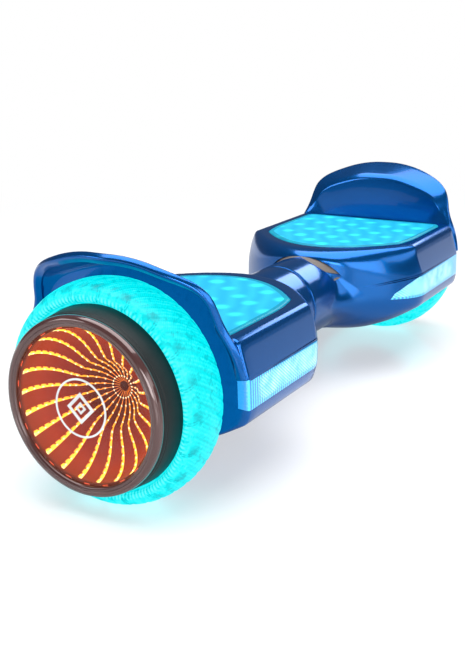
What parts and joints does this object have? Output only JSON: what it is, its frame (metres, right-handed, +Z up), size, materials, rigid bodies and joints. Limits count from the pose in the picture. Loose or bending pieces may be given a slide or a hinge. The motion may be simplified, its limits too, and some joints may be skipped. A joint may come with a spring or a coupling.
{
  "type": "self balancing hoverboard",
  "caption": "Self-balancing board for standing on: two foot-pad halves that twist on a central pivot, each with a hub-motor wheel, fender, headlight and lit wheel cap.",
  "frame": {"origin": "on the floor, midway between the wheels, under the pivot", "axes": "+Z up; X along the wheel axles, +X the rider's left; the headlights face -Y"},
  "size_m": [0.5934, 0.1964, 0.187],
  "materials": {
    "blue_shell": "metallic blue lacquer, high gloss",
    "clear_pad": "translucent moulded pad lit from below",
    "light_lens": "translucent ribbed light lens",
    "light_board": "white circuit board with lamps",
    "black_rubber": "matte",
    "black_plastic": "matte",
    "cast_alloy": "cast",
    "circuit_board": "solder mask",
    "axle_steel": "turned",
    "motor_steel": "stacked laminations",
    "bearing_steel": "ground",
    "bronze": "sintered",
    "dark_alloy": "dark powder coat",
    "lit_tyre": "translucent lit tyre",
    "cap_bezel": "smoked",
    "smoked_lens": "half-silvered",
    "cap_mirror": "mirrored dish",
    "battery_case": "shrink-wrapped pack",
    "button_steel": "brushed"
  },
  "bodies": {
    "left_half": {"upper_shell_left": "blue_shell", "lower_shell_left": "blue_shell", "fender_left": "blue_shell", "neck_collar_left": "blue_shell", "neck_seal_left": "black_rubber", "pad_light_board_left": "light_board", "pad_switch_left": "black_rubber", "headlight_lens_left": "light_lens", "headlight_board_left": "light_board", "chassis_left": "cast_alloy", "sensor_board_left": "circuit_board", "axle_left": "axle_steel", "stator_left": "motor_steel", "pivot_tube": "axle_steel", "retaining_ring": "bearing_steel", "stop_pin": "bearing_steel", "cross_harness": "black_rubber", "main_board": "circuit_board", "speaker": "black_rubber", "charge_socket": "black_plastic"},
    "right_half": {"upper_shell_right": "blue_shell", "lower_shell_right": "blue_shell", "fender_right": "blue_shell", "neck_collar_right": "blue_shell", "neck_seal_right": "black_rubber", "pad_light_board_right": "light_board", "pad_switch_right": "black_rubber", "headlight_lens_right": "light_lens", "headlight_board_right": "light_board", "chassis_right": "cast_alloy", "sensor_board_right": "circuit_board", "axle_right": "axle_steel", "stator_right": "motor_steel", "pivot_bush": "bronze", "battery_pack": "battery_case"},
    "left_wheel": {"tyre_left": "lit_tyre", "motor_hub_left": "dark_alloy", "hub_cover_left": "dark_alloy", "magnet_ring_left": "motor_steel", "bearing_inner_left": "bearing_steel", "bearing_outer_left": "bearing_steel", "cap_bezel_left": "cap_bezel", "cap_lens_left": "smoked_lens", "cap_mirror_left": "cap_mirror", "cap_light_ring_left": "light_board"},
    "right_wheel": {"tyre_right": "lit_tyre", "motor_hub_right": "dark_alloy", "hub_cover_right": "dark_alloy", "magnet_ring_right": "motor_steel", "bearing_inner_right": "bearing_steel", "bearing_outer_right": "bearing_steel", "cap_bezel_right": "cap_bezel", "cap_lens_right": "smoked_lens", "cap_mirror_right": "cap_mirror", "cap_light_ring_right": "light_board"},
    "left_pad": {"foot_pad_left": "clear_pad"},
    "right_pad": {"foot_pad_right": "clear_pad"},
    "power_button": {"power_button": "button_steel"},
    "port_flap": {"port_flap": "black_rubber"}
  },
  "joints": [
    {"name": "halves_twist", "type": "hinge", "parent": "left_half", "child": "right_half", "pos_m": [0, 0, 0.084], "axis": [1, 0, 0], "range_deg": [-12, 12]},
    {"name": "left_wheel_spin", "type": "hinge", "parent": "left_half", "child": "left_wheel", "pos_m": [0.256, 0, 0.084], "axis": [1, 0, 0], "continuous": true},
    {"name": "right_wheel_spin", "type": "hinge", "parent": "right_half", "child": "right_wheel", "pos_m": [-0.256, 0, 0.084], "axis": [1, 0, 0], "continuous": true},
    {"name": "left_pad_press", "type": "slide", "parent": "left_half", "child": "left_pad", "axis": [0, 0, -1], "range_m": [0, 0.0015], "stiffness_N_per_m": 6000, "springref_m": -0.0005},
    {"name": "right_pad_press", "type": "slide", "parent": "right_half", "child": "right_pad", "axis": [0, 0, -1], "range_m": [0, 0.0015], "stiffness_N_per_m": 6000, "springref_m": -0.0005},
    {"name": "power_button_press", "type": "slide", "parent": "left_half", "child": "power_button", "axis": [0, -1, 0], "range_m": [0, 0.001], "stiffness_N_per_m": 800, "springref_m": -0.0005},
    {"name": "port_flap_hinge", "type": "hinge", "parent": "left_half", "child": "port_flap", "pos_m": [0.15, 0.0995, 0.0787], "axis": [-1, 0, 0], "range_deg": [0, 100]}
  ]
}
